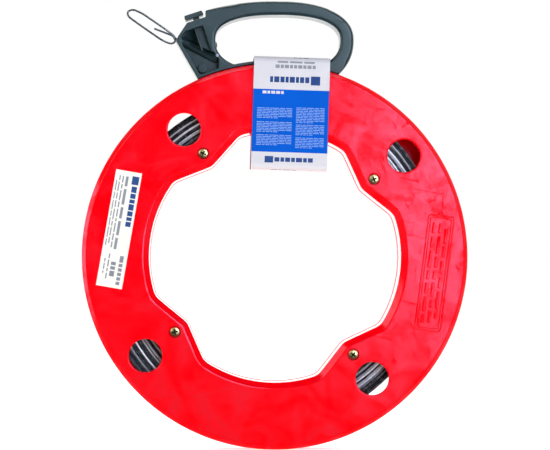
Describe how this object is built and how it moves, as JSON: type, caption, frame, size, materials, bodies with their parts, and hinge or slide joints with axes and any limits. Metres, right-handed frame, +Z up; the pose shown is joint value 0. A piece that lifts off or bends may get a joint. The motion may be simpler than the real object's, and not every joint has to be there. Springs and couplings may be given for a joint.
{
  "type": "fish tape reel",
  "caption": "Flat round reel of steel fish tape that turns in a D handle, with a tape guide, a push brake and a card sleeve.",
  "frame": {"origin": "centre of the reel, on its axis of turning, midway through the case's thickness", "axes": "+Z up towards the handle, +X to the right seen from the front, -Y out of the front face, reel axis along Y"},
  "size_m": [0.305, 0.04, 0.3548],
  "materials": {
    "red_plastic": "glossy moulded red plastic with fine scuffs",
    "dark_red_plastic": "glossy moulded dark red plastic",
    "yellow_zinc": "yellow zinc-plated steel",
    "tape_steel": "oiled spring steel with drawn streaks",
    "plain_steel": "bright zinc-plated steel",
    "black_steel": "black oxide steel",
    "white_label": "white self-adhesive paper",
    "slate_plastic": "satin moulded slate-black plastic",
    "pad_rubber": "black rubber",
    "printed_card": "coated card printed white and blue"
  },
  "bodies": {
    "handle": {"handle_front": "slate_plastic", "handle_rear": "slate_plastic", "handle_screws": "black_steel", "guide_pin": "plain_steel", "brake_pin": "plain_steel", "brake_spring": "plain_steel", "card_sleeve": "printed_card"},
    "reel": {"case_front": "red_plastic", "case_rear": "dark_red_plastic", "case_screws": "yellow_zinc", "tape_coil": "tape_steel", "anchor_clip": "plain_steel", "anchor_screw": "plain_steel", "side_label": "white_label"},
    "brake": {"brake_button": "slate_plastic", "brake_pad": "pad_rubber"},
    "tape": {"tape_lead": "tape_steel"}
  },
  "joints": [
    {"name": "reel_spin", "type": "hinge", "parent": "handle", "child": "reel", "pos_m": [0, 0, 0], "axis": [0, 1, 0], "continuous": true},
    {"name": "brake_press", "type": "slide", "parent": "handle", "child": "brake", "axis": [0.3156, 0, -0.9489], "range_m": [0, 0.0024], "stiffness_N_per_m": 600, "springref_m": -0.002, "deforming": ["brake_spring"]},
    {"name": "tape_draw", "type": "slide", "parent": "handle", "child": "tape", "axis": [-0.891, 0, 0.454], "range_m": [0, 0.055]}
  ]
}
